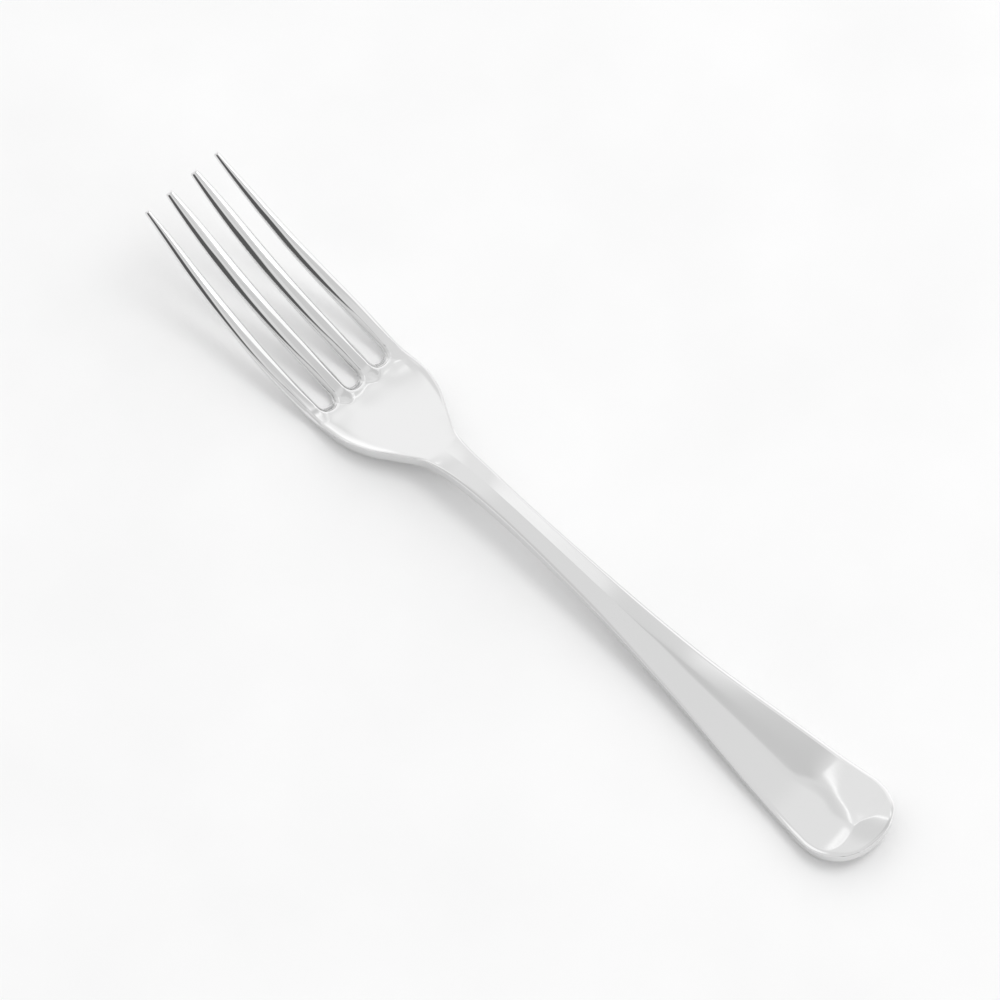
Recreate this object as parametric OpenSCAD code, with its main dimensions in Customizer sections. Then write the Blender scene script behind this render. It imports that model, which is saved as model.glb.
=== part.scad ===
// Dinner fork in polished steel, lying tines up on a table.
// X runs along the fork towards the tine tips, Y across it, Z up. Millimetres.
// The origin is on the table, under the middle of the fork.

/* [Whole fork] */
// Length from the tine tips to the end of the handle
fork_length = 205; // [195:1:220]
// Smallest width of the stem
waist_width = 6.5; // [5.8:0.1:7.2]

/* [Tines] */
// Distance from the tine tips to the ends of the slots
slot_depth = 52.4; // [49:0.2:54]
// Width of each slot where it ends
slot_width = 3.8; // [3.4:0.1:4]
// Width of an inner tine at its root
inner_tine_width = 3.8; // [3.5:0.1:4]
// Width of an inner tine at its tip
inner_tip_width = 1.6; // [1.2:0.1:2]
// Width of an outer tine at its tip
outer_tip_width = 1; // [0.8:0.1:1.4]
// Length over which an inner tine narrows
inner_taper = 28; // [20:1:35]
// Length over which an outer tine narrows
outer_taper = 45; // [36:1:48]
// Distance from the middle line to an inner tine's tip
inner_tip_place = 3.6; // [3.2:0.1:4]
// Width across the four tips
tips_width = 21.2; // [20:0.2:23]
// Thickness of a tine at its tip
tip_thickness = 1.3; // [1.1:0.1:1.6]
// Rounding at the tip of a tine
tip_round = 0.5; // [0.3:0.1:0.7]
// Angle by which the ends of the tines lean back
tip_lean = 25; // [15:1:30]
// Length over which that lean fades out
lean_length = 14; // [10:1:20]

/* [Head] */
// Largest width of the head
head_width = 26.1; // [25:0.1:28]
// Width of the head over its heel
heel_width = 24.9; // [24:0.1:25.5]
// Depth of the hollow in the front of the head
dish_depth = 1.2; // [0.8:0.1:1.4]
// Fall of the underside from the edges of the head to its middle
head_belly = 0.9; // [0.6:0.1:1.2]
// Height of the head from its underside to its edges
head_depth = 3.6; // [3.4:0.1:3.9]
// Height of the rounded upper edge along the tines
tine_edge_round = 1.2; // [0.8:0.1:1.4]
// Width of each rounded upper edge of a tine, as a share of the tine's width
tine_edge_share = 0.4; // [0.3:0.02:0.42]
// Height of the rounded upper edge around the end of a slot
slot_end_round = 1.4; // [1:0.1:1.5]
// Width of the rounded upper edge around the end of a slot, as a share of an inner tine's width
slot_end_share = 0.47; // [0.42:0.01:0.48]
// Width of the bevel along the upper edge of the head
head_edge_width = 0.4; // [0.3:0.1:0.7]
// Height of the bevel along the upper edge of the head
head_edge_height = 0.3; // [0.2:0.05:0.5]

/* [Handle] */
// Largest width of the handle
handle_width = 21.2; // [19:0.2:23]
// Height of the ridge over the edges of the handle
ridge_height = 0.9; // [0.6:0.1:1.2]
// Height of the ridge over the edges of the stem
stem_ridge_height = 0.75; // [0.5:0.05:1]
// Height of the handle from its underside to its edges
handle_depth = 3.1; // [2.8:0.1:3.4]
// Height of the stem from its underside to its edges
stem_depth = 4.3; // [4:0.1:4.7]
// Fall of the underside from the edges of the handle to its middle
handle_belly = 0.3; // [0.2:0.1:0.6]
// Width of the bevel along the upper edge of the handle
handle_edge_width = 1.2; // [0.9:0.1:1.4]
// Height of the bevel along the upper edge of the handle
handle_edge_height = 0.3; // [0.2:0.05:0.4]
// Rounding of the lower edges
back_edge_round = 0.6; // [0.4:0.1:0.7]
// Width of the slope that ends the ridge, from the round end inwards
ridge_end_width = 4.5; // [3.5:0.1:5.5]
// Length of the broad handle, from its end to the stem
handle_length = 66; // [60:1:75]

/* [Side view] */
// Height of the underside at the tine tips
tip_rise = 22.6; // [20:0.2:25]
// Height of the underside at the top of the arch behind the head
arch_rise = 4.8; // [4.2:0.1:5.6]
// Height of the underside at the end of the handle
end_rise = 3.3; // [2:0.1:4.5]

/* [Hidden] */
// Places along the tines, as distances from the tips
flare_place = 20;
bend_place = 25;
widest_place = 42;
// Places behind the slots, as shares of the length from the slots to the handle
heel_share = 0.047;
shoulder_share = 0.088;
turn_share = 0.169;
slope_share = 0.238;
throat_share = 0.307;
collar_share = 0.388;
arch_share = 0.457;
waist_share = 0.55;
stem_share = 0.838;
// The same places, as distances from the tips
handle_start = fork_length - handle_length;
heel_place = mix(slot_depth, handle_start, heel_share);
shoulder_place = mix(slot_depth, handle_start, shoulder_share);
turn_place = mix(slot_depth, handle_start, turn_share);
slope_place = mix(slot_depth, handle_start, slope_share);
throat_place = mix(slot_depth, handle_start, throat_share);
collar_place = mix(slot_depth, handle_start, collar_share);
arch_place = mix(slot_depth, handle_start, arch_share);
waist_place = mix(slot_depth, handle_start, waist_share);
stem_place = mix(slot_depth, handle_start, stem_share);
// Places along the handle, as distances from its end
blade_place = 55;
broad_place = 27;
rest_place = 18;
bow_place = 11;
// Widths of the outline at those places
flare_width = 24.4;
turn_width = 21.3;
slope_width = 14.8;
throat_width = 8.9;
collar_width = 7.3;
stem_width = 7.7;
blade_width = 11;
broad_width = 17.7;
// Heights of the underside at those places
bend_rise = 8.8;
widest_rise = 2.6;
slope_rise = 2.2;
stem_rise = 3.6;
blade_rise = 1.6;
broad_rise = 0.2;
// Heights of the section half way along a tine, at its root, over the heel, where the head
// turns in and where it meets the stem
tine_depth = 2.4;
root_depth = 2.9;
heel_depth = 3.15;
turn_depth = 4.1;
collar_depth = 4.4;
// Heights of the section between stem and handle and at the end of the handle
blade_depth = 3.3;
end_depth = 3;
// Depths of the hollow at the roots of the tines and where the head turns in
root_dish = 0.9;
turn_dish = 1;
// Falls of the underside from its edges to its middle, at the waist and where the handle begins
waist_belly = 0.8;
blade_belly = 0.35;
// Rounding of the lower edge around the end of a slot
slot_back_round = 0.3;
// Where the tines stop and the head begins, at the first of the slots' round ends
root_place = slot_depth - slot_width / 2;
// Distance between the middle lines of two slots
slot_pitch = slot_width + inner_tine_width;
// Where the neck begins and ends
neck_start = throat_place;
neck_end = waist_place;
// Powers and softness of the curves
end_power = 2.3;
taper_power = 3;
// Softness of the ridge's crest on the stem and at the end, as shares of the half width
crest_share = 0.12;
end_crest_share = 0.2;
// Part of the hollow's depth that lies in the steep lip along its edges
lip_share = 0.45;
lip_power = 8;
// Part of the round end that is drawn, the rest is its flat tip
end_cut_share = 0.997;
// Width left on the flat end face of a tine
tip_face_share = 0.55;
// Parts of a width, and of a wall's height, that one rounded edge may take
round_share = 0.42;
front_wall_share = 0.55;
back_wall_share = 0.3;
// Steps
edge_steps = 4;
tine_rings = 20;
polar_steps = 8;
head_rows = 16;
neck_rings = 10;
stem_rings = 14;
handle_rings = 24;
end_rings = 14;
// Columns of a section between its rounded edges, as shares of its half width
inner_shares = [-1, -0.72, -0.45, -0.2, -0.07, 0, 0.07, 0.2, 0.45, 0.72, 1];
tine_shares = [-1, 0, 1];

outline = [
    [0, tips_width / 2], [flare_place, flare_width / 2], [widest_place, head_width / 2],
    [shoulder_place, heel_width / 2], [turn_place, turn_width / 2],
    [slope_place, slope_width / 2], [throat_place, throat_width / 2],
    [collar_place, collar_width / 2], [waist_place, waist_width / 2],
    [stem_place, stem_width / 2], [fork_length - blade_place, blade_width / 2],
    [fork_length - broad_place, broad_width / 2], [fork_length - bow_place, handle_width / 2]
];
underside = [
    [0, tip_rise], [bend_place, bend_rise], [widest_place, widest_rise], [heel_place, 0],
    [slope_place, slope_rise], [arch_place, arch_rise], [stem_place, stem_rise],
    [fork_length - blade_place, blade_rise], [fork_length - broad_place, broad_rise],
    [fork_length - rest_place, 0], [fork_length, end_rise]
];
depths = [
    [0, tip_thickness], [bend_place, tine_depth], [root_place, root_depth],
    [heel_place, heel_depth], [shoulder_place, head_depth], [turn_place, turn_depth],
    [collar_place, collar_depth], [waist_place, stem_depth],
    [fork_length - blade_place, blade_depth], [fork_length - rest_place, handle_depth],
    [fork_length, end_depth]
];
crowns = [
    [0, 0], [root_place, -root_dish], [heel_place, -dish_depth], [turn_place, -turn_dish],
    [throat_place, 0],
    [waist_place, stem_ridge_height], [fork_length - blade_place, ridge_height],
    [fork_length, ridge_height]
];
bellies = [
    [0, 0], [root_place, head_belly], [throat_place, head_belly],
    [waist_place, waist_belly], [handle_start, blade_belly], [fork_length, handle_belly]
];

// Value at x of a smooth curve through points, level at each of its turns
function chord(p, i) = (p[i + 1][1] - p[i][1]) / (p[i + 1][0] - p[i][0]);
function slope_at(p, i) =
    i == 0 ? chord(p, 0)
    : i == len(p) - 1 ? chord(p, i - 1)
    : chord(p, i - 1) * chord(p, i) <= 0 ? 0
    : 2 * chord(p, i - 1) * chord(p, i) / (chord(p, i - 1) + chord(p, i));
function span_of(p, x, i = 0) =
    i >= len(p) - 2 || x <= p[i + 1][0] ? i : span_of(p, x, i + 1);
function along(p, x) =
    let (
        i = span_of(p, x),
        h = p[i + 1][0] - p[i][0],
        t = (x - p[i][0]) / h
    )
    p[i][1] * (1 + 2 * t) * pow(1 - t, 2)
    + h * slope_at(p, i) * t * pow(1 - t, 2)
    + p[i + 1][1] * (3 - 2 * t) * pow(t, 2)
    + h * slope_at(p, i + 1) * (t - 1) * pow(t, 2);
function mix(a, b, t) = a + (b - a) * t;

function part_between(d, a, b) = max(0, min(1, (d - a) / (b - a)));

// Half width of the fork at a distance d from the tips
function into_end(d) = max(0, (d - fork_length + bow_place) / bow_place * end_cut_share);
function half_width(d) =
    let (u = into_end(d))
    u == 0 ? along(outline, d) : handle_width / 2 * pow(1 - pow(u, end_power), 1 / end_power);

// Place across the fork, 0 in the middle and 1 at the edges that the round end cuts off
function across(d, y) = abs(y) / half_width(min(d, fork_length - bow_place));
// Distance from the outline of the round end, along a line to its middle
function end_gap(d, y) =
    let (v = across(d, y), u = into_end(d))
    handle_width / 2 * (1 - pow(pow(v, end_power) + pow(u, end_power), 1 / end_power));

// Shapes of the front across the fork, 1 in the middle and 0 at the edges
function ridge(v, s) = 1 - (sqrt(v * v + s * s) - s) / (sqrt(1 + s * s) - s);
function hollow(v) = 1 - (1 - lip_share) * pow(v, 2) - lip_share * pow(v, lip_power);
function crest(d) = mix(crest_share, end_crest_share, part_between(d, handle_start, fork_length));
function front(d, y) =
    let (v = across(d, y), c = along(crowns, d))
    along(underside, d) + along(depths, d)
    + c * (c < 0 ? hollow(v) : min(ridge(v, crest(d)), max(0, end_gap(d, y)) / ridge_end_width));
function back(d, y) = along(underside, d) + along(bellies, d) * pow(across(d, y), 2);

// Rounded edges, each as a width and a height that fit the section at d
function edge_wall(d) = along(depths, d) - along(bellies, d);
function front_round(d) =
    let (
        t = part_between(d, root_place, shoulder_place),
        s = part_between(d, throat_place, handle_start),
        w = mix(tine_edge_share * outer_root_width(), head_edge_width, t),
        h = mix(tine_edge_round, head_edge_height, t)
    )
    [
        mix(w, handle_edge_width, s),
        min(mix(h, handle_edge_height, s), front_wall_share * edge_wall(d))
    ];
function back_round(d) = [back_edge_round, min(back_edge_round, back_wall_share * edge_wall(d))];
function narrowed(r, width) = [min(r[0], round_share * width), r[1]];

// Inset of step k of a rounded edge r, and its fall at a gap from the wall
function inset(r, k) = r[0] * (1 - cos(90 * k / edge_steps));
function fall(r, gap) = gap >= r[0] ? 0 : r[1] * (1 - sqrt(1 - pow(1 - gap / r[0], 2)));

// Places across a section from y0 to y1, close together in its rounded edges
function places(y0, y1, r, shares) =
    let (m = (y0 + y1) / 2, h = (y1 - y0) / 2)
    concat(
        [for (k = [0:edge_steps - 1]) y0 + inset(r, k)],
        [for (s = shares) m + s * (h - r[0])],
        [for (k = [edge_steps - 1:-1:0]) y1 - inset(r, k)]
    );
function at(d, y, z) = [fork_length / 2 - d, y, z];
function front_row(d, y0, y1, shares, grow = 1) =
    let (m = (y0 + y1) / 2, r = narrowed(front_round(d), y1 - y0))
    [
        for (y = places(y0, y1, r, shares))
        let (gap = min(y - y0, y1 - y), w = m + grow * (y - m))
        at(d, w, front(d, w) - fall(r, gap))
    ];
function back_row(d, y0, y1, shares, grow = 1) =
    let (m = (y0 + y1) / 2, r = narrowed(back_round(d), y1 - y0))
    [
        for (y = places(y0, y1, r, shares))
        let (gap = min(y - y0, y1 - y), w = m + grow * (y - m))
        at(d, w, back(d, w) + fall(r, gap))
    ];

// Faces of a plate between two sheets of points, each with rows along the fork and columns
// across it. Walls close it at the first row, the last row and the two edges.
function cell(a, b, c, e) = [[a, b, c], [a, c, e]];
function plate_faces(rows, cols, start, first_wall, last_wall, low_wall, high_wall) =
    let (under = start + rows * cols)
    [
        for (i = [0:rows - 2], j = [0:cols - 2])
        let (p = start + i * cols + j)
        each cell(p + cols, p + cols + 1, p + 1, p),
        for (i = [0:rows - 2], j = [0:cols - 2])
        let (p = under + i * cols + j)
        each cell(p, p + 1, p + cols + 1, p + cols),
        for (j = first_wall)
        let (p = start + j, q = under + j)
        each cell(p, p + 1, q + 1, q),
        for (j = last_wall)
        let (p = start + (rows - 1) * cols + j, q = under + (rows - 1) * cols + j)
        each cell(q, q + 1, p + 1, p),
        for (i = low_wall)
        let (p = start + i * cols, q = under + i * cols)
        each cell(p + cols, p, q, q + cols),
        for (i = high_wall)
        let (p = start + (i + 1) * cols - 1, q = under + (i + 1) * cols - 1)
        each cell(p, p + cols, q + cols, q)
    ];
function flat(rows) = [for (row = rows) each row];

// A closed piece between rows of the front and rows of the back
module plate(fronts, backs) {
    rows = len(fronts);
    cols = len(fronts[0]);
    polyhedron(
        points = concat(flat(fronts), flat(backs)),
        faces = plate_faces(
            rows, cols, 0, [0:cols - 2], [0:cols - 2], [0:rows - 2], [0:rows - 2]
        )
    );
}

// A stretch of the stem or handle through sections at the given distances
module stretch(distances) {
    plate(
        [for (d = distances) front_row(d, -half_width(d), half_width(d), inner_shares)],
        [for (d = distances) back_row(d, -half_width(d), half_width(d), inner_shares)]
    );
}

// Width of a tine that grows from its tip towards its root
function tapered(tip, root, length, d) =
    tip + (root - tip) * (1 - pow(1 - min(1, d / length), taper_power));
function outer_root_width() = half_width(root_place) - slot_pitch - slot_width / 2;

// Edges of the inner and outer tines at distance d, on the side where y is above zero
function inner_edges(d) =
    let (
        w = tapered(inner_tip_width, inner_tine_width, inner_taper, d),
        c = mix(inner_tip_place, slot_pitch / 2, min(1, d / root_place))
    )
    [c - w / 2, c + w / 2];
function outer_edges(d) =
    let (w = tapered(outer_tip_width, outer_root_width(), outer_taper, d))
    [half_width(d) - w, half_width(d)];

// Rings of a tine: a rounded tip, then the tapered length to the root
tine_places = concat(
    [for (k = [0:edge_steps - 1]) inset([tip_round], k)],
    [for (k = [0:tine_rings]) mix(tip_round, root_place, k / tine_rings)]
);
function tip_scale(d) =
    d >= tip_round ? 1 : mix(tip_face_share, 1, sqrt(1 - pow(1 - d / tip_round, 2)));
function tine_point(p, d) =
    let (
        half = along(depths, d) / 2,
        m = along(underside, d) + half,
        z = m + tip_scale(d) * (p[2] - m),
        lean = tan(tip_lean) * max(0, 1 - d / lean_length)
    )
    [p[0] - lean * (z - m + tip_scale(d) * half), p[1], z];

module tine(edges_list) {
    n = len(tine_places) - 1;
    plate(
        [
            for (i = [0:n])
            let (d = tine_places[i], e = edges_list[i])
            [for (p = front_row(d, e[0], e[1], tine_shares, tip_scale(d))) tine_point(p, d)]
        ],
        [
            for (i = [0:n])
            let (d = tine_places[i], e = edges_list[i])
            [for (p = back_row(d, e[0], e[1], tine_shares, tip_scale(d))) tine_point(p, d)]
        ]
    );
}

// Round end of a slot: points at an angle round its centre and a gap from its wall
function slot_round(a) =
    let (r = front_round(root_place))
    [mix(r[0], slot_end_share * inner_tine_width, sin(a)), mix(r[1], slot_end_round, sin(a))];
function slot_round_back(a) =
    let (r = back_round(root_place))
    [mix(r[0], slot_back_round, sin(a)), mix(r[1], slot_back_round, sin(a))];
function polar(slot, a, gap) =
    [root_place + (slot_width / 2 + gap) * sin(a), slot * slot_pitch - (slot_width / 2 + gap) * cos(a)];
function ring_gaps(r) = concat([for (k = [0:edge_steps]) inset(r, k)], [inner_tine_width / 2]);
function polar_sheet(slot, is_front) = [
    for (i = [0:edge_steps + 1])
    [
        for (k = [0:polar_steps])
        let (
            a = 180 * k / polar_steps,
            r = is_front ? slot_round(a) : slot_round_back(a),
            gap = ring_gaps(r)[i],
            q = polar(slot, a, gap)
        )
        is_front ? at(q[0], q[1], front(q[0], q[1]) - fall(r, gap))
        : at(q[0], q[1], back(q[0], q[1]) + fall(r, gap))
    ]
];

// Columns of the head: distance and place across of each at its start
slot_starts = [
    for (slot = [-1:1], k = [0:polar_steps])
    if (slot == -1 || k > 0)
    polar(slot, 180 * k / polar_steps, inner_tine_width / 2)
];
head_cols = len(slot_starts) + 2 * (edge_steps + 1);
function head_row(t, is_front) =
    let (
        d = mix(root_place, neck_start, t),
        w = half_width(d),
        r = is_front ? front_round(d) : back_round(d),
        edges = [for (k = [0:edge_steps]) w - inset(r, k)]
    )
    concat(
        [for (y = edges) head_point(d, -y, r, is_front)],
        [
            for (q = slot_starts)
            let (
                e = mix(q[0], neck_start, t),
                s = q[1] / (half_width(q[0]) - front_round(q[0])[0]),
                y = t == 0 ? q[1] : s * (half_width(e) - front_round(e)[0])
            )
            head_point(e, y, is_front ? front_round(e) : back_round(e), is_front)
        ],
        [for (k = [edge_steps:-1:0]) head_point(d, edges[k], r, is_front)]
    );
function head_point(d, y, r, is_front) =
    let (f = fall(r, half_width(d) - abs(y)))
    at(d, y, is_front ? front(d, y) - f : back(d, y) + f);

module handle() {
    color("silver")
    stretch(concat(
        [for (k = [0:handle_rings]) mix(handle_start, fork_length - bow_place, k / handle_rings)],
        [for (k = [1:end_rings]) fork_length - bow_place * (1 - sin(90 * k / end_rings))]
    ));
}

module stem() {
    color("gainsboro")
    stretch([for (k = [0:stem_rings]) mix(neck_end, handle_start, k / stem_rings)]);
}

module neck() {
    color("silver")
    stretch([for (k = [0:neck_rings]) mix(neck_start, neck_end, k / neck_rings)]);
}

module head() {
    rows = edge_steps + 2;
    cols = polar_steps + 1;
    block = 2 * rows * cols;
    fronts = [for (i = [0:head_rows]) head_row(i / head_rows, true)];
    backs = [for (i = [0:head_rows]) head_row(i / head_rows, false)];
    color("gainsboro")
    polyhedron(
        points = concat(
            flat([for (slot = [-1:1]) concat(flat(polar_sheet(slot, true)), flat(polar_sheet(slot, false)))]),
            flat(fronts), flat(backs)
        ),
        faces = concat(
            flat([
                for (slot = [0:2])
                plate_faces(rows, cols, slot * block, [0:cols - 2], [], [0:rows - 2], [0:rows - 2])
            ]),
            plate_faces(
                head_rows + 1, head_cols, 3 * block,
                concat([for (j = [0:edge_steps]) j], [for (j = [0:edge_steps]) head_cols - 2 - j]),
                [0:head_cols - 2], [0:head_rows - 1], [0:head_rows - 1]
            )
        )
    );
}

module inner_tine() {
    tine([for (d = tine_places) inner_edges(d)]);
}

module outer_tine() {
    tine([for (d = tine_places) outer_edges(d)]);
}

module tine_left_inner() {
    color("silver")
    inner_tine();
}

module tine_left_outer() {
    color("lightgray")
    outer_tine();
}

module tine_right_inner() {
    color("silver")
    mirror([0, 1, 0])
    inner_tine();
}

module tine_right_outer() {
    color("lightgray")
    mirror([0, 1, 0])
    outer_tine();
}

handle();
stem();
neck();
head();
tine_left_outer();
tine_left_inner();
tine_right_inner();
tine_right_outer();
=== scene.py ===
import math

import bpy
import numpy as np
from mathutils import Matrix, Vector


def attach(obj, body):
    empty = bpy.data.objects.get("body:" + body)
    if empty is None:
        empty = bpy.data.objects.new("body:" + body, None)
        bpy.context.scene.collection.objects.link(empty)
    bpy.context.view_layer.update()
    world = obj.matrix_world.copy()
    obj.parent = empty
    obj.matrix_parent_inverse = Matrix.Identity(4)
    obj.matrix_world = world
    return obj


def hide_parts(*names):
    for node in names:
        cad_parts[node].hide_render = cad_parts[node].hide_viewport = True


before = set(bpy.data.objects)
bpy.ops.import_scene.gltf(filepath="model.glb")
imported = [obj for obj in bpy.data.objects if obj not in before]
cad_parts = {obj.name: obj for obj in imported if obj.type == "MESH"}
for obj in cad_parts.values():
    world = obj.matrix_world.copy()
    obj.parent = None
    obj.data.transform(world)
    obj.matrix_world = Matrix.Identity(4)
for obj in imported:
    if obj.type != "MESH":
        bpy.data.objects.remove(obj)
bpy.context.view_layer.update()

MM = 0.001
SMOOTHNESS = 3

# Places along the fork, from the tips: the tines' roots, and where neck, stem and handle start
FORK_LENGTH = 205.0
ROOT = 50.5
NECK_START = 79.0
WAIST = 100.0
HANDLE_START = 139.0

# Widths of the slots and of the inner tines at their roots, and of the tines at their tips
SLOT_WIDTH = 3.8
INNER_TINE = 3.8
INNER_TIP = 1.6
OUTER_TIP = 1.0
SLOT_PITCH = SLOT_WIDTH + INNER_TINE
SLOT_RADIUS = SLOT_WIDTH / 2
# Length over which the tines widen, and the inner tips' distance from the middle line
INNER_TAPER = 28.0
OUTER_TAPER = 45.0
INNER_TIP_PLACE = 3.6
# Lean of the tips' sections back along the fork, and the length over which it fades
TIP_LEAN = math.radians(25)
LEAN_LENGTH = 14.0

# Round end of the handle: its length, its half width and the power of its outline
BOW = 11.0
HANDLE_HALF = 10.6
END_POWER = 2.3

# In each table the first value is the distance from the tips.
# Half width of the fork
OUTLINE = [
    (0, 10.6), (20, 12.2), (42, 13.05), (60, 12.45), (67, 10.65), (73, 7.4), (79, 4.45),
    (86, 3.65), (100, 3.25), (125, 3.85), (150, 5.5), (178, 8.85), (194, 10.6),
]
# Height of the middle of the underside
UNDERSIDE = [
    (0, 22.6), (25, 8.8), (42, 2.6), (56.5, 0), (73, 2.2), (92, 4.8), (125, 3.6), (150, 1.6),
    (178, 0.2), (184.5, 0), (190, 0.25), (194, 0.73), (198, 1.48), (202, 2.48), (205, 3.3),
]
# Height of the section from its underside to its edges
DEPTH = [
    (0, 1.3), (25, 2.4), (48, 2.8), (51.5, 2.75), (54, 3.15), (57, 3.85), (60, 4.22), (63, 4.42),
    (67, 4.53), (73, 4.55), (86, 4.45), (100, 4.3), (150, 3.3), (187, 3.1), (205, 3.0),
]
# Height of the middle of the front over its edges: a hollow head, a ridged stem and handle
CROWN = [(0, 0), (50.5, -0.9), (57, -1.2), (66, -1.0), (79, 0), (100, 0.75), (150, 0.9), (205, 0.9)]
# Fall of the underside from the edges to the middle
BELLY = [(0, 0), (50.5, 0.9), (79, 0.9), (100, 0.8), (140, 0.35), (205, 0.3)]
# Slope at the ridge's end: its length and its power, first on the stem and then at the
# handle's end, where the one becomes the other, and how softly it meets the side slopes
RIDGE_RUN = (4.5, 5.6)
RIDGE_POWER = (1, 0.8)
RIDGE_CHANGE = 183
RIDGE_CHANGE_LENGTH = 8
RIDGE_BLEND = 0.05
# Roundness of the ridge's crest on the stem and at the handle's end, and where it changes
CREST = (0.12, 0.2)
CREST_CHANGE = 165
CREST_CHANGE_LENGTH = 20
# Raised lip of the head: its share of the hollow, and how close it keeps to the edge
LIP_SHARE = 0.45
LIP_POWER = 8
# Lead of the head's rise behind a slot over its rise behind a tine, and where it fades
LOBE_LEAD = 0.15
LOBE_START_LENGTH = 2.5
LOBE_END = 64
LOBE_END_LENGTH = 8

# Rounded upper edge of a tine: its width as a share of half the tine's, and its height
TINE_SHARE = [(0, 1), (30, 1), (40, 0.75), (50.5, 0.5)]
TINE_HEIGHT = [(0, 0.35), (6, 0.6), (15, 1.0), (25, 1.5), (36, 1.6), (43, 1.2), (50.5, 1.1)]
# Place from which it turns from a rounding into a bevel
BEVEL_START = 38
# Rounding of the tips
TIP_ROUND = 0.5
# Bevelled upper rim of head, neck, stem and handle: its width, its height and its power
RIM_WIDTH = [
    (50.5, 1.1), (58, 0.6), (66, 0.5), (76, 0.5), (88, 0.6), (110, 0.7), (140, 0.9), (175, 1.1),
    (205, 0.9),
]
RIM_HEIGHT = [
    (50.5, 0.85), (58, 0.5), (65, 0.15), (77, 0.15), (88, 0.5), (110, 0.5), (140, 0.35),
    (185, 0.3), (205, 0.1),
]
RIM_POWER = 2
# Length over which the tines' edges become the rim
RIM_START_LENGTH = 6
# Rounding of the lower edges
BACK_ROUND = [(0, 0.45), (20, 0.7), (80, 0.5), (120, 0.5), (205, 0.4)]
# Least height of an edge's wall, and the most of it that its roundings above and below take
LEAST_WALL = 0.5
MOST_ABOVE = 0.6
MOST_BELOW = 0.3
# Scooped end of a slot
SCOOP_WIDTH = 1.9
SCOOP_HEIGHT = 1.4
SCOOP_POWER = 1.6
# Crowns of the tines where they run out on the head: the end, how round it is, the height
# and the length of the slope to it, and where and how slowly they fade towards the tips
TONGUE_END = 55.4
TONGUE_ROUND = 1.6
TONGUE_SOFT = 0.25
TONGUE_HEIGHT = 0.55
TONGUE_RUN = 2.5
TONGUE_FADE = 8
TONGUE_FADE_LENGTH = 25


def curve(table, d):
    """Value at d of a curve through the table's points that is level at each turn, and
    straight beyond the table's ends."""
    i = 0
    while i < len(table) - 2 and d > table[i + 1][0]:
        i += 1
    rise = [(b[1] - a[1]) / (b[0] - a[0]) for a, b in zip(table, table[1:])]

    def lean(k):
        if k in (0, len(table) - 1):
            return rise[min(k, len(rise) - 1)]
        a, b = rise[k - 1], rise[k]
        return 0 if a * b <= 0 else 2 * a * b / (a + b)

    last = len(table) - 1
    if d < table[0][0] or d > table[last][0]:
        end = 0 if d < table[0][0] else last
        return table[end][1] + lean(end) * (d - table[end][0])
    h = table[i + 1][0] - table[i][0]
    t = (d - table[i][0]) / h
    return (
        table[i][1] * (1 + 2 * t) * (1 - t) ** 2
        + h * lean(i) * t * (1 - t) ** 2
        + table[i + 1][1] * (3 - 2 * t) * t * t
        + h * lean(i + 1) * (t - 1) * t * t
    )


# Places at which the curves are worked out, a little past both ends of the fork
SAMPLE_STEP = 0.1
SAMPLE_MARGIN = 12
SAMPLE_PLACES = np.arange(-SAMPLE_MARGIN, FORK_LENGTH + SAMPLE_MARGIN, SAMPLE_STEP)


def eased(table, reach):
    """The curve, eased over a few millimetres so that reflections flow along it, as samples."""
    values = np.array([curve(table, d) for d in SAMPLE_PLACES])
    weights = np.hanning(int(reach / SAMPLE_STEP) | 1)
    half = len(weights) // 2
    ends = np.pad(values, half, mode="reflect", reflect_type="odd")
    return np.convolve(ends, weights / weights.sum(), mode="valid")


# Each curve with the length over which it is eased
CURVES = {
    "outline": eased(OUTLINE, 4),
    "underside": eased(UNDERSIDE, 7),
    "depth": eased(DEPTH, 4),
    "crown": eased(CROWN, 8),
    "belly": eased(BELLY, 12),
    "tine_share": eased(TINE_SHARE, 6),
    "tine_height": eased(TINE_HEIGHT, 6),
    "rim_width": eased(RIM_WIDTH, 8),
    "rim_height": eased(RIM_HEIGHT, 8),
    "back_round": eased(BACK_ROUND, 8),
}


def along(name, d):
    """Value of the named curve at distance d from the tips."""
    return np.interp(d, SAMPLE_PLACES, CURVES[name])


def mix(a, b, t):
    """From a to b as t goes from 0 to 1."""
    return a + (b - a) * t


def ease(t):
    """From 0 to 1 with a soft start and a soft end."""
    t = np.clip(t, 0, 1)
    return t * t * (3 - 2 * t)


def soft_min(a, b, soft):
    """The smaller of two values, blended where they are close."""
    return (a + b - np.sqrt((a - b) ** 2 + soft**2)) / 2


def power_end(u):
    """Outline of the handle's round end: 1 where it starts and 0 at its end."""
    return np.maximum(0, 1 - np.clip(u, 0, 1) ** END_POWER) ** (1 / END_POWER)


def half_width(d):
    """Half the fork's width at distance d from the tips."""
    u = (d - FORK_LENGTH + BOW) / BOW
    return np.where(u <= 0, along("outline", d), HANDLE_HALF * power_end(u))


def end_distance(y):
    """Distance from the tips of the round end's outline at the place y across."""
    return FORK_LENGTH - BOW + BOW * power_end(abs(y) / HANDLE_HALF)


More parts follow.
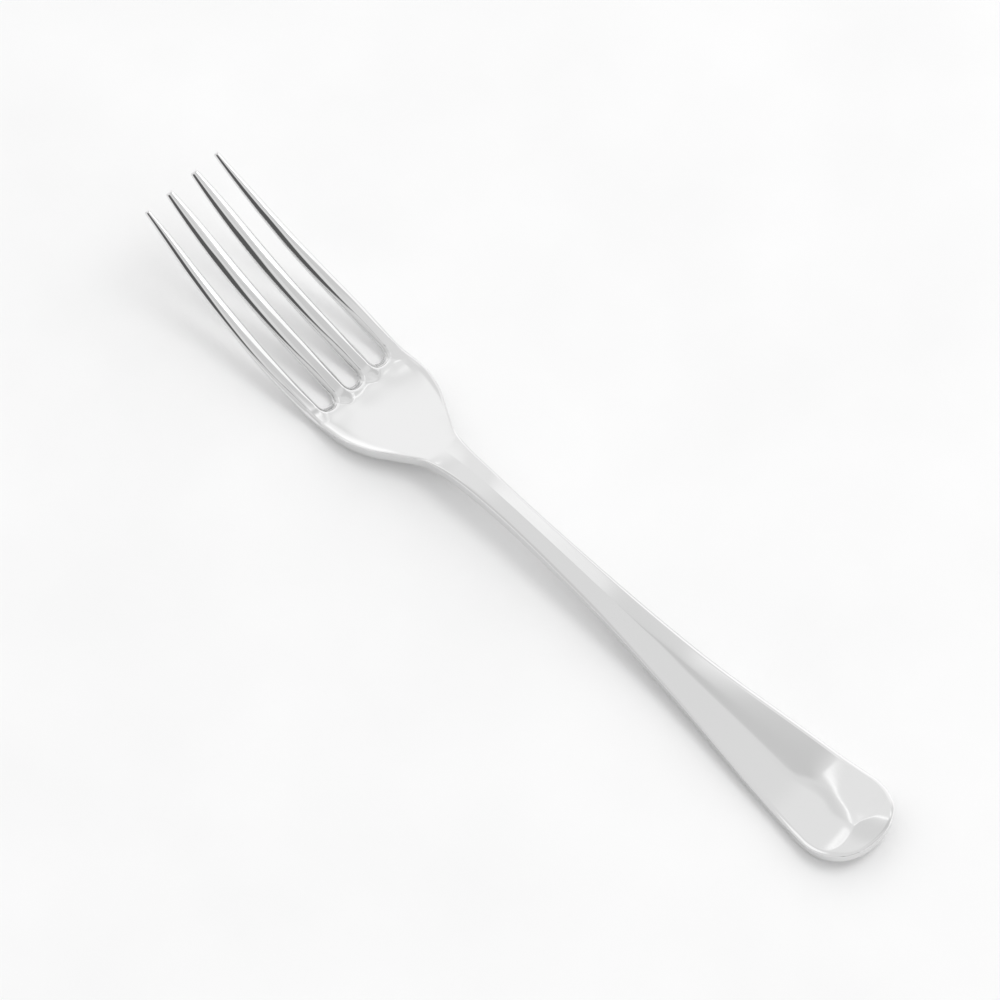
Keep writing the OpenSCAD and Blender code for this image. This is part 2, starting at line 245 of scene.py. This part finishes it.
def outer_gap(d, y):
    """Distance of a point from the fork's outline."""
    step = 0.2
    slope = (half_width(d + step) - half_width(d - step)) / (2 * step)
    side = (along("outline", d) - y) / np.hypot(1, slope)
    # At the round end: the share of the way to the outline, and how fast it changes
    tiny = 0.001
    u = np.maximum(d - FORK_LENGTH + BOW, tiny) / BOW
    v = np.maximum(y, tiny) / HANDLE_HALF
    size = (u**END_POWER + v**END_POWER) ** (1 / END_POWER)
    steep = np.hypot((u / size) ** (END_POWER - 1) / BOW, (v / size) ** (END_POWER - 1) / HANDLE_HALF)
    return np.where(d > FORK_LENGTH - BOW, (1 - size) / steep, side)


def across(d, y):
    """Place across as a share of the half width; the round end keeps the width before it."""
    return np.clip(y / half_width(np.minimum(d, FORK_LENGTH - BOW)), 0, 1)


def ridge(d, y):
    """Height of the front over its edges: a hollow on the head, and a ridge behind it with
    straight slopes to both sides and to the end."""
    v = across(d, y)
    crown = along("crown", d)
    crest = mix(*CREST, ease((d - CREST_CHANGE) / CREST_CHANGE_LENGTH))
    tent = 1 - (np.hypot(v, crest) - crest) / (np.hypot(1, crest) - crest)
    t = ease((d - RIDGE_CHANGE) / RIDGE_CHANGE_LENGTH)
    run = np.clip(outer_gap(d, y) / mix(*RIDGE_RUN, t), 0.001, 1) ** mix(*RIDGE_POWER, t)
    slope = soft_min(tent, run, RIDGE_BLEND)
    hollow = crown * (1 - (1 - LIP_SHARE) * v**2 - LIP_SHARE * v**LIP_POWER)
    return np.where(crown < 0, hollow, crown * slope)


def tapered(tip, root, length, d):
    """Width of a tine that widens from its tip, quickly at first."""
    return tip + (root - tip) * (1 - (1 - np.clip(d / length, 0, 1)) ** 3)


def tine_edges(d):
    """Inner and outer edge of an inner and of an outer tine at distance d."""
    w = tapered(INNER_TIP, INNER_TINE, INNER_TAPER, d)
    c = mix(INNER_TIP_PLACE, SLOT_PITCH / 2, np.clip(d / ROOT, 0, 1))
    outer_root = half_width(ROOT) - SLOT_PITCH - SLOT_RADIUS
    o = tapered(OUTER_TIP, outer_root, OUTER_TAPER, d)
    return (c - w / 2, c + w / 2), (half_width(d) - o, half_width(d))


def rounded(gap, width, height):
    """Fall of a rounded edge at a distance from it."""
    t = 1 - np.clip(gap / width, 0, 1)
    return height * (1 - np.sqrt(1 - t * t))


def bevelled(gap, width, height, power):
    """Fall of a softly bevelled edge, which ends in a sharp corner."""
    return height * (1 - np.clip(gap / width, 0, 1)) ** power


def slot_gap(d, y, slot):
    """Distance of a point behind the tines from a slot's round end, and how far round it is."""
    reach = np.hypot(d - ROOT, y - slot)
    return reach - SLOT_RADIUS, np.clip((d - ROOT) / np.maximum(reach, 0.01), 0, 1)


def surfaces(d, y):
    """Heights of the front and of the back at distances y from the middle line."""
    (a, b), (e, f) = tine_edges(np.minimum(d, ROOT))
    on_inner = y < (b + e) / 2
    low, high = np.where(on_inner, a, e), np.where(on_inner, b, f)
    half = (high - low) / 2
    lobes = np.cos(2 * math.pi * y / SLOT_PITCH)
    lobes *= ease((d - ROOT) / LOBE_START_LENGTH) * ease((LOBE_END - d) / LOBE_END_LENGTH)
    depth = along("depth", d + LOBE_LEAD * lobes)
    wall = np.maximum(depth - along("belly", d), LEAST_WALL)
    tine_width = along("tine_share", d) * half
    tine_height = np.minimum(along("tine_height", d), MOST_ABOVE * wall)
    back_round = np.minimum(along("back_round", d), MOST_BELOW * wall)
    underside = along("underside", d)
    front = underside + depth + ridge(d, y) + tongue(d, (y - (low + high) / 2) / half)
    back = underside + along("belly", d) * across(d, y) ** 2

    # Rounded edges of the tines, which run out as bevels at the roots
    root = ease((d - BEVEL_START) / (ROOT - BEVEL_START))
    tine_fall = tine_rise = rounded(d, TIP_ROUND, MOST_BELOW * wall)
    for gap in (y - low, high - y):
        soft = rounded(gap, tine_width, tine_height)
        sharp = bevelled(gap, tine_width, tine_height, SCOOP_POWER)
        tine_fall = tine_fall + mix(soft, sharp, root)
        tine_rise = tine_rise + rounded(gap, back_round, back_round)

    # Bevelled rim of the rest, and the scooped ends of the slots
    gap = outer_gap(d, y)
    t = ease((d - ROOT) / RIM_START_LENGTH)
    rim_width = mix(tine_width, along("rim_width", d), t)
    rim_height = mix(tine_height, along("rim_height", d), t)
    rim_fall = bevelled(gap, rim_width, rim_height, RIM_POWER)
    rim_rise = rounded(gap, back_round, back_round)
    for slot in (0, SLOT_PITCH):
        gap, turn = slot_gap(d, y, slot)
        turn = ease(turn)
        width, height = mix(tine_width, SCOOP_WIDTH, turn), mix(tine_height, SCOOP_HEIGHT, turn)
        rim_fall += bevelled(gap, width, height, SCOOP_POWER)
        rim_rise += rounded(gap, back_round, back_round)
    on_tines = d <= ROOT
    fall = np.where(on_tines, tine_fall, rim_fall)
    rise = np.where(on_tines, tine_rise, rim_rise)
    return front - fall, back + rise


def tongue(d, u):
    """Height of the tines' crowns, which run out on the head with round ends."""
    run = TONGUE_END - TONGUE_ROUND * u * u - d
    run = (run + np.hypot(run, TONGUE_SOFT)) / 2
    fade = 1 - ease((run - TONGUE_FADE) / TONGUE_FADE_LENGTH)
    return TONGUE_HEIGHT * (1 - np.exp(-run / TONGUE_RUN)) * fade


# Rows of the fork's mesh along it. The first ones cross the tines, a few rings go round the
# ends of the slots, and the last rows bend round the end of the handle.
TINE_ROWS = [0, 0.35, 1.3, 3.2, 6, 10, 15, 20, 25, 30, 35, 40, 44, 47.5, ROOT]
RING_START = len(TINE_ROWS)
RINGS = 3
PLATE_ROWS = [57.5, 60, 62.5, 65, 67.5, 70, 72.5, 75, 77.3]
PLATE_START = RING_START + RINGS
LONG_ROWS = [NECK_START, 82, 85, 88.5, 92, 96, WAIST, 105, 111, 117, 124, 131, HANDLE_START]
LONG_ROWS += [146, 153, 160, 167, 174, 180, 185]
LONG_START = PLATE_START + len(PLATE_ROWS)
BEND_PLACE = 189.0
BEND_STEPS = [0, 0.2, 0.4, 0.57, 0.71, 0.82, 0.9, 0.955, 1]
BEND_START = LONG_START + len(LONG_ROWS)
ROWS = BEND_START + len(BEND_STEPS)
# Place on the end's outline, as a share of its half width, where the fork's edge meets the bend
BEND_CORNER = 0.72

# Columns across: five lines on each tine and a middle line in each slot. One side's lines are
# numbered from the middle line out.
COLUMNS = 23
MIDDLE = COLUMNS // 2
SLOT_MIDDLES = (5, 11, 17)
MIDDLE_LINE, SLOT_LINE = 0, 6
TINE_MIDDLES = (3, 9)
# Places of a tine's lines from edge to edge, and the narrowing of its first row
TINE_LINES = (0, 0.13, 0.5, 0.87, 1)
TIP_SHARE = 0.75
# Inset of the lines beside a tine's edges on the head, as a share of half the tine
ROOT_INSET = 0.26
# How far each line of one side sits out on the handle, between ridge and edge
HANDLE_SHARES = [0, 0.06, 0.14, 0.25, 0.37, 0.49, 0.61, 0.72, 0.83]
# Insets of the lines along the edge, as shares of a reach that grows from head to handle
EDGE_INSETS = (0.34, 1.0)
EDGE_REACH = (0.9, 1.3)
EDGE_REACH_LENGTH = 60
INNER_INSET = 1.25
# Length over which the lines pass from the tines' places to the handle's
LINES_LENGTH = 42

# Rings of lines round the ends of the slots: their distance beyond the end, on the slot's
# middle line and behind the tines, and the angle and distance out of the lines between, first
# for those next to the slot and then for the others
RING_BEYOND = (0, 0.55, 2.1)
RING_BESIDE = (1.25, 2.6, 4.2)
RING_NEAR = ((45, 0), (64, 0.6), (70, 2.1))
RING_FAR = ((28, 0.5), (47, 0.75), (58, 2.3))
NEAR_LINES = (1, 5, 7)


def root_columns():
    """Places across of the lines of one side where the tines grow from the head."""
    tines = []
    for a, b in tine_edges(ROOT):
        inset = ROOT_INSET * (b - a) / 2
        tines.append([a, a + inset, (a + b) / 2, b - inset, b])
    return [0, *tines[0], SLOT_PITCH, *tines[1]]


ROOT_PLACES = root_columns()


def side_places(d, w):
    """Places across of the lines of one side, for a section of half width w."""
    reach = mix(*EDGE_REACH, ease((d - ROOT) / EDGE_REACH_LENGTH))
    t = ease((d - ROOT) / LINES_LENGTH)
    at_root = [place / half_width(ROOT) * w for place in ROOT_PLACES]
    inner = w - INNER_INSET * reach
    out = [mix(place, share * inner, t) for place, share in zip(at_root[:9], HANDLE_SHARES)]
    out.append(mix(at_root[9], w - reach * EDGE_INSETS[1], t))
    out.append(mix(at_root[10], w - reach * EDGE_INSETS[0], t))
    return out + [w]


def cage_point(i, j):
    """Place of the cage's vertex in row i and column j: its distance from the tips and across."""
    side = 1 if j >= MIDDLE else -1
    k = abs(j - MIDDLE)
    if i < RING_START:
        d, y = tine_point(i, k)
    elif i < PLATE_START:
        d, y = slot_end_point(i - RING_START, k)
    elif i < BEND_START:
        d = (PLATE_ROWS + LONG_ROWS)[i - PLATE_START]
        y = side_places(d, half_width(d))[k]
    else:
        t = BEND_STEPS[i - BEND_START]
        corner = BEND_CORNER * HANDLE_HALF
        edge_d = mix(BEND_PLACE, end_distance(corner), t)
        d = mix(BEND_PLACE, end_distance(side_places(edge_d, corner)[k]), t)
        y = side_places(edge_d, half_width(edge_d))[k]
    return d, side * y


def tine_point(row, k):
    """Vertices of the rows that cross the tines."""
    d = TINE_ROWS[row]
    inner, outer = tine_edges(d)
    if k == MIDDLE_LINE:
        return d, 0
    if k == SLOT_LINE:
        return d, (inner[1] + outer[0]) / 2
    (a, b), first = (inner, MIDDLE_LINE + 1) if k < SLOT_LINE else (outer, SLOT_LINE + 1)
    y = mix(a, b, TINE_LINES[k - first])
    return d, mix((a + b) / 2, y, TIP_SHARE) if row == 0 else y


def slot_end_point(ring, k):
    """Vertices of the rows that go round the ends of the slots, on rings about each end."""
    y = ROOT_PLACES[k]
    beside = ROOT + RING_BESIDE[ring]
    if k in (MIDDLE_LINE, SLOT_LINE):
        return ROOT + SLOT_RADIUS + RING_BEYOND[ring], y
    if k in TINE_MIDDLES:
        return beside, y
    if k > TINE_MIDDLES[1]:
        return beside, side_places(ROOT + RING_BESIDE[1], half_width(beside))[k]
    slot = 0 if k <= TINE_MIDDLES[0] else SLOT_PITCH
    angle, out = (RING_NEAR if k in NEAR_LINES else RING_FAR)[ring]
    a = math.radians(angle)
    away = 1 if y > slot else -1
    return ROOT + (SLOT_RADIUS + out) * math.sin(a), slot + away * (SLOT_RADIUS + out) * math.cos(a)


PIECES = [
    "handle", "stem", "neck", "head",
    "tine_left_outer", "tine_left_inner", "tine_right_inner", "tine_right_outer",
]
# Passes that fit the cage to the smoothed outline, and how much of the gap each one closes
FIT_PASSES = 3
FIT_SHARE = 0.9


def only(obj):
    """Select this object alone and make it the active one."""
    bpy.ops.object.select_all(action="DESELECT")
    obj.select_set(True)
    bpy.context.view_layer.objects.active = obj


def select_faces(obj, wanted):
    """Go into edit mode with the wanted faces selected: one true or false for each face."""
    only(obj)
    bpy.ops.object.mode_set(mode="EDIT")
    bpy.ops.mesh.select_mode(type="FACE")
    bpy.ops.mesh.select_all(action="DESELECT")
    bpy.ops.object.mode_set(mode="OBJECT")
    obj.data.polygons.foreach_set("select", wanted)
    bpy.ops.object.mode_set(mode="EDIT")


def turn_outwards(obj):
    """Point all the object's faces outwards."""
    only(obj)
    bpy.ops.object.mode_set(mode="EDIT")
    bpy.ops.mesh.select_all(action="SELECT")
    bpy.ops.mesh.normals_make_consistent(inside=False)
    bpy.ops.object.mode_set(mode="OBJECT")


def fork_skin():
    """The whole fork as one smooth closed mesh: a sheet, cut for the slots, given its
    thickness, set on the fork's curves and smoothed."""
    skin = slotted_slab()
    mark_pieces(skin.data)
    keep_corners(skin.data)
    smooth_on_outline(skin)
    press(skin.data)
    turn_outwards(skin)
    bpy.ops.object.shade_smooth()
    return skin


def slotted_slab():
    """Flat slab of rows and columns, 1 apart, with the slots cut out: its top lies at 0 and its
    bottom at -1."""
    bpy.ops.object.select_all(action="DESELECT")
    bpy.ops.mesh.primitive_grid_add(
        x_subdivisions=ROWS - 1, y_subdivisions=COLUMNS - 1, size=2, location=(0, 0, 0)
    )
    slab = bpy.context.active_object
    slab.name = "fork_skin"
    for v in slab.data.vertices:
        i = round((v.co.x + 1) / 2 * (ROWS - 1))
        j = round((v.co.y + 1) / 2 * (COLUMNS - 1))
        v.co = (i, j, 0)
    centres = [face.center for face in slab.data.polygons]
    select_faces(
        slab, [c.x < RING_START and min(abs(c.y - m) for m in SLOT_MIDDLES) < 1 for c in centres]
    )
    bpy.ops.mesh.delete(type="FACE")
    bpy.ops.mesh.select_all(action="SELECT")
    bpy.ops.mesh.extrude_region_move(TRANSFORM_OT_translate={"value": (0, 0, -1)})
    bpy.ops.object.mode_set(mode="OBJECT")
    return slab


def mark_pieces(mesh):
    """Mark each face with the number of the piece that it belongs to."""
    mark = mesh.attributes.new("piece", "INT", "FACE")
    for face in mesh.polygons:
        mark.data[face.index].value = piece_of(face.center)


def keep_corners(mesh):
    """Crease the slab's outline above and below, so that smoothing keeps its corners."""
    walls = [face for face in mesh.polygons if abs(face.normal.z) < 0.5]
    pairs = {tuple(sorted(pair)) for face in walls for pair in face.edge_keys}
    heights = [v.co.z for v in mesh.vertices]
    crease = mesh.attributes.new("crease_edge", "FLOAT", "EDGE")
    for edge in mesh.edges:
        a, b = edge.vertices
        is_level = heights[a] == heights[b]
        crease.data[edge.index].value = is_level and tuple(sorted((a, b))) in pairs


def smooth_on_outline(skin):
    """Set the slab on the fork's outline, between 1 at the front and -1 at the back, and smooth
    it. The cage is pushed out until the smoothed mesh passes through the outline."""
    mesh = skin.data
    targets = np.array([
        (*cage_point(round(v.co.x), round(v.co.y)), 1 if v.co.z > -0.5 else -1)
        for v in mesh.vertices
    ])
    mesh.vertices.foreach_set("co", targets.ravel())
    turn_outwards(skin)
    smoothing = skin.modifiers.new("smoothing", "SUBSURF")
    smoothing.levels = smoothing.render_levels = 1
    cage = targets.copy()
    for _ in range(FIT_PASSES):
        smoothed = skin.evaluated_get(bpy.context.evaluated_depsgraph_get()).data
        now = np.array([smoothed.vertices[n].co for n in range(len(targets))])
        cage += FIT_SHARE * (targets - now)
        mesh.vertices.foreach_set("co", cage.ravel())
        mesh.update()
    smoothing.levels = smoothing.render_levels = SMOOTHNESS
    only(skin)
    bpy.ops.object.modifier_apply(modifier="smoothing")


def press(mesh):
    """Give the flat slab the fork's front and back: its vertices lie between 1 at the front
    and -1 at the back."""
    flat = np.empty(len(mesh.vertices) * 3)
    mesh.vertices.foreach_get("co", flat)
    d, y, side = flat.reshape(-1, 3).T
    front, back = surfaces(d, np.abs(y))
    z = (front + back) / 2 + np.clip(side, -1, 1) * (front - back) / 2
    lean = math.tan(TIP_LEAN) * np.clip(1 - d / LEAN_LENGTH, 0, 1)
    x = FORK_LENGTH / 2 - d - lean * (z - along("underside", d))
    mesh.vertices.foreach_set("co", (np.stack([x, y, z], axis=1) * MM).ravel())
    mesh.update()


def piece_of(centre):
    """Number of the piece that a face of the flat slab belongs to."""
    i, j = centre.x, centre.y
    if i < RING_START - 1:
        return PIECES.index("tine_left_outer") + sum(j < middle for middle in SLOT_MIDDLES)
    if i < LONG_START:
        return PIECES.index("head")
    if i < LONG_START + LONG_ROWS.index(WAIST):
        return PIECES.index("neck")
    if i < LONG_START + LONG_ROWS.index(HANDLE_START):
        return PIECES.index("stem")
    return PIECES.index("handle")


def cut_into_pieces(skin):
    """One closed object for each piece, with the whole fork's normals so that no seam shows."""
    stored = skin.data.attributes.new("skin_normal", "FLOAT_VECTOR", "POINT")
    stored.data.foreach_set("vector", [c for v in skin.data.vertices for c in v.normal])
    pieces = []
    for number in range(len(PIECES) - 1):
        select_faces(skin, [m.value == number for m in skin.data.attributes["piece"].data])
        bpy.ops.mesh.separate(type="SELECTED")
        bpy.ops.object.mode_set(mode="OBJECT")
        pieces.append(next(o for o in bpy.context.selected_objects if o is not skin))
    # What is left is the last piece
    pieces.append(skin)
    for piece, name in zip(pieces, PIECES):
        piece.name = piece.data.name = name + "_polished"
        close_piece(piece)
        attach(piece, "root")
        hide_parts(name)
    return pieces


def close_piece(piece):
    """Close the piece's open ends, and shade its skin as part of the whole fork."""
    mesh = piece.data
    only(piece)
    bpy.ops.object.mode_set(mode="EDIT")
    bpy.ops.mesh.select_mode(type="EDGE")
    bpy.ops.mesh.select_all(action="DESELECT")
    bpy.ops.mesh.select_non_manifold()
    bpy.ops.mesh.fill_holes(sides=0)
    bpy.ops.object.mode_set(mode="OBJECT")
    skin_normals = mesh.attributes["skin_normal"].data
    corners = []
    for face in mesh.polygons:
        # The ends are the only faces with more than four corners
        is_end = len(face.vertices) > 4
        for v in face.vertices:
            corners.append(tuple(face.normal if is_end else skin_normals[v].vector))
    mesh.attributes.remove(mesh.attributes["skin_normal"])
    mesh.attributes.remove(mesh.attributes["piece"])
    mesh.normals_split_custom_set(corners)


def linear(hex_colour):
    """sRGB hex to the linear values that Blender's sockets take."""
    parts = [int(hex_colour[n : n + 2], 16) / 255 for n in (1, 3, 5)]
    return [c / 12.92 if c <= 0.04045 else ((c + 0.055) / 1.055) ** 2.4 for c in parts] + [1]


def add(tree, kind, links=None, **settings):
    """Add a node, set its properties, and give its sockets a value, a socket or a node, whose
    first output is then linked."""
    node = tree.nodes.new(kind)
    for key, value in settings.items():
        setattr(node, key, value)
    for socket, value in (links or {}).items():
        if isinstance(value, bpy.types.Node):
            value = value.outputs[0]
        if isinstance(value, bpy.types.NodeSocket):
            tree.links.new(value, node.inputs[socket])
        else:
            node.inputs[socket].default_value = value
    return node


def new_material(name):
    """A material with an empty node tree."""
    material = bpy.data.materials.new(name)
    material.use_nodes = True
    material.node_tree.nodes.clear()
    return material


# Polishing marks to a millimetre, along the fork and across it
MARKS_ALONG = 0.12
MARKS_ACROSS = 6
# Patches of a slightly different white to a metre of the cloth
CLOTH_PATCHES = 22
# Middle part of a noise pattern, which is spread over the range that is wanted
NOISE_RANGE = {"From Min": 0.3, "From Max": 0.7}


def polished_steel():
    """Stainless steel, forged and mirror polished: bright neutral reflections, softened a
    little by fine polishing marks, 8 mm long, that run along the fork."""
    material = new_material("mirror_polished_stainless_steel")
    t = material.node_tree
    place = add(t, "ShaderNodeTexCoord").outputs["Object"]
    scale = (MARKS_ALONG / MM, MARKS_ACROSS / MM, MARKS_ACROSS / MM)
    stretched = add(t, "ShaderNodeMapping", {"Vector": place, "Scale": scale})
    marks = add(
        t, "ShaderNodeTexNoise", {"Vector": stretched, "Scale": 1.0, "Detail": 3.0, "Roughness": 0.6}
    ).outputs["Fac"]
    rough = add(t, "ShaderNodeMapRange", {"Value": marks, **NOISE_RANGE, "To Min": 0.05, "To Max": 0.1})
    fine = add(t, "ShaderNodeBump", {"Height": marks, "Strength": 0.01, "Distance": 0.02 * MM})
    shader = add(t, "ShaderNodeBsdfPrincipled", {
        "Base Color": linear("#E5E5E5"), "Metallic": 1.0, "Roughness": rough, "Normal": fine,
    })
    add(t, "ShaderNodeOutputMaterial", {"Surface": shader})
    return material


def table_cloth():
    """White woven cloth of the table: matt, very slightly uneven in tone, with a faint painted glow
    that lifts its shadows.
    """
    material = new_material("white_table_cloth")
    t = material.node_tree
    place = add(t, "ShaderNodeTexCoord").outputs["Object"]
    cloud = add(t, "ShaderNodeTexNoise", {"Vector": place, "Scale": CLOTH_PATCHES, "Detail": 3.0})
    tone = add(t, "ShaderNodeMapRange", {
        "Value": cloud.outputs["Fac"], **NOISE_RANGE, "To Min": 0.0, "To Max": 1.0,
    })
    # Sockets 0, 6 and 7 are the share and the two colours, and output 2 is the mixed colour
    colour = add(
        t, "ShaderNodeMix", {0: tone, 6: linear("#F4F4F4"), 7: linear("#F8F8F8")}, data_type="RGBA"
    ).outputs[2]
    cloth = add(t, "ShaderNodeBsdfPrincipled", {
        "Base Color": colour, "Roughness": 0.9, "Specular IOR Level": 0.1,
    })
    # Painted glow: a small share of the cloth shines by itself in its own colour, painted light that
    # lifts the shadows on it and keeps them soft
    painted_glow = add(t, "ShaderNodeEmission", {"Color": colour})
    mixed = add(t, "ShaderNodeMixShader", {0: 0.12, 1: cloth, 2: painted_glow})
    add(t, "ShaderNodeOutputMaterial", {"Surface": mixed})
    return material


# Directions of the room, seen from the fork: azimuth 0 is straight behind it in the picture,
# 90 to the right, 180 to the camera.
BEHIND = (0.706, -0.708, 0)
RIGHT = (-0.708, -0.706, 0)
ROOM = 0.87
# Parts of the room, in degrees: azimuth and elevation of the middle, half the width, half the
# height, softness of the border, rise of the middle for each degree to the right, and
# brightness. Each is painted over the ones before it.
ROOM_PARTS = [
    # Ceiling and walls behind
    (-22, 60, 16, 14, 6, 0, 0.95),
    (5, 14, 50, 14, 8, 0, 1.28),
    (-27, 34, 20, 11, 4, 0, 1.1),
    (4, 45, 14, 7, 4, 0, 0.97),
    (12, 32, 14, 6, 4, 0, 1.12),
    # Grey stretches of the ceiling, behind and to the right
    (-9, 56, 13, 4, 3, 0.27, 0.83),
    (36, 57, 26, 8, 4, -0.3, 0.71),
    # Narrow bright strips behind, which draw the thin white lines at the handle's end and the
    # light facet of the stem
    (-3.5, 50.2, 17, 0.6, 0.5, 0.17, 1.38),
    (21, 47.8, 7, 1.4, 4, 0, 1.38),
    (-32.5, 49.2, 5.5, 0.8, 1.2, 0, 1.33),
    # Grey ceiling, bright wall and brighter opening on the right
    (88, 64, 36, 14, 8, 0, 0.74),
    (72, 20, 30, 27, 5, -0.25, 1.25),
    (76, 42, 10, 7, 3, 0, 2.1),
    # Bright wall and greyer wall on the left
    (-75, 52, 16, 7, 4, 0, 1.2),
    (242, 14, 20, 24, 12, 0, 0.72),
    # Dark part of the room at the camera, which draws the dark bands on the tines
    (185, 33.5, 34, 28.5, 3, 0.12, 0.12),
]


def room():
    """The room round the table, painted by direction: pale all over, brighter behind and on
    the right, dark at the camera."""
    world = bpy.data.worlds.new("pale_room")
    bpy.context.scene.world = world
    world.use_nodes = True
    t = world.node_tree
    t.nodes.clear()
    way = add(t, "ShaderNodeTexCoord").outputs["Generated"]
    shares = []
    for axis in ((0, 0, 1), RIGHT, BEHIND):
        share = add(t, "ShaderNodeVectorMath", {0: way, 1: axis}, operation="DOT_PRODUCT")
        shares.append(share.outputs["Value"])
    up = add(t, "ShaderNodeMath", {0: shares[0]}, operation="ARCSINE")
    turn = add(t, "ShaderNodeMath", {0: shares[1], 1: shares[2]}, operation="ARCTAN2")
    level = ROOM
    for azimuth, elevation, wide, high, soft, lean, brightness in ROOM_PARTS:
        off = add(t, "ShaderNodeMath", {0: turn, 1: math.radians(azimuth)}, operation="SUBTRACT")
        off = add(t, "ShaderNodeMath", {0: off, 1: math.pi, 2: -math.pi}, operation="WRAP")
        middle = add(
            t, "ShaderNodeMath", {0: off, 1: lean, 2: math.radians(elevation)}, operation="MULTIPLY_ADD"
        )
        rise = add(t, "ShaderNodeMath", {0: up, 1: middle}, operation="SUBTRACT")
        masks = []
        for value, half in ((off, wide), (rise, high)):
            distance = add(t, "ShaderNodeMath", {0: value}, operation="ABSOLUTE")
            inner, outer = math.radians(half - soft), math.radians(half + soft)
            masks.append(add(
                t, "ShaderNodeMapRange", {"Value": distance, "From Min": outer, "From Max": inner},
                interpolation_type="SMOOTHSTEP",
            ))
        inside = add(t, "ShaderNodeMath", {0: masks[0], 1: masks[1]}, operation="MULTIPLY")
        change = add(t, "ShaderNodeMath", {0: brightness, 1: level}, operation="SUBTRACT")
        change = add(t, "ShaderNodeMath", {0: inside, 1: change}, operation="MULTIPLY")
        level = add(t, "ShaderNodeMath", {0: level, 1: change}, operation="ADD")
    sky = add(t, "ShaderNodeBackground", {"Color": (1, 1, 1, 1), "Strength": level})
    add(t, "ShaderNodeOutputWorld", {"Surface": sky})


TABLE_SIZE = 6
# Soft light on the right: where it is, its width and height in metres, and its power in watts
LIGHT_AZIMUTH = math.radians(75)
LIGHT_ELEVATION = math.radians(66)
LIGHT_DISTANCE = 1.8
LIGHT_WIDTH = 0.8
LIGHT_HEIGHT = 0.7
LIGHT_POWER = 8.2


def studio():
    """White table in a pale room, with one soft light."""
    bpy.ops.object.select_all(action="DESELECT")
    bpy.ops.mesh.primitive_plane_add(size=TABLE_SIZE, location=(0, 0, 0))
    table = bpy.context.active_object
    table.name = "table"
    table.data.materials.append(table_cloth())
    room()
    soft_light()


def soft_light():
    """Light that gives the fork its shadow. The steel does not mirror it, because the room
    already holds what shows in the steel."""
    data = bpy.data.lights.new("right_light", "AREA")
    data.shape = "RECTANGLE"
    data.size, data.size_y = LIGHT_WIDTH, LIGHT_HEIGHT
    data.energy = LIGHT_POWER
    flat = Vector(BEHIND) * math.cos(LIGHT_AZIMUTH) + Vector(RIGHT) * math.sin(LIGHT_AZIMUTH)
    way = flat * math.cos(LIGHT_ELEVATION) + Vector((0, 0, math.sin(LIGHT_ELEVATION)))
    lamp = bpy.data.objects.new("right_light", data)
    lamp.location = way * LIGHT_DISTANCE
    lamp.rotation_euler = way.to_track_quat("Z", "Y").to_euler()
    lamp.visible_glossy = False
    bpy.context.scene.collection.objects.link(lamp)


# Camera: above the tines' left side, looking down at 63 degrees; places in millimetres
VIEW_TURN = math.radians(225.05)
VIEW_HEIGHT = math.radians(62.76)
VIEW_DISTANCE = 1300
VIEW_TARGET = Vector((9.22, -2.72, 0))
# Scale at the target, in a picture that is this many pixels wide
PIXELS_PER_MM = 4.747
PICTURE_WIDTH = 1000
SENSOR_WIDTH = 36


def camera():
    """Long-lens camera that looks at the fork from above."""
    away = Vector((
        math.sin(VIEW_TURN) * math.cos(VIEW_HEIGHT),
        -math.cos(VIEW_TURN) * math.cos(VIEW_HEIGHT),
        math.sin(VIEW_HEIGHT),
    ))
    data = bpy.data.cameras.new("camera")
    data.sensor_width = SENSOR_WIDTH
    data.lens = PIXELS_PER_MM * VIEW_DISTANCE / PICTURE_WIDTH * SENSOR_WIDTH
    cam = bpy.data.objects.new("camera", data)
    cam.location = (VIEW_TARGET + away * VIEW_DISTANCE) * MM
    cam.rotation_euler = away.to_track_quat("Z", "Y").to_euler()
    bpy.context.scene.collection.objects.link(cam)
    bpy.context.scene.camera = cam


steel = polished_steel()
for piece in cut_into_pieces(fork_skin()):
    piece.data.materials.clear()
    piece.data.materials.append(steel)
studio()
camera()
bpy.context.scene.view_settings.view_transform = "Standard"
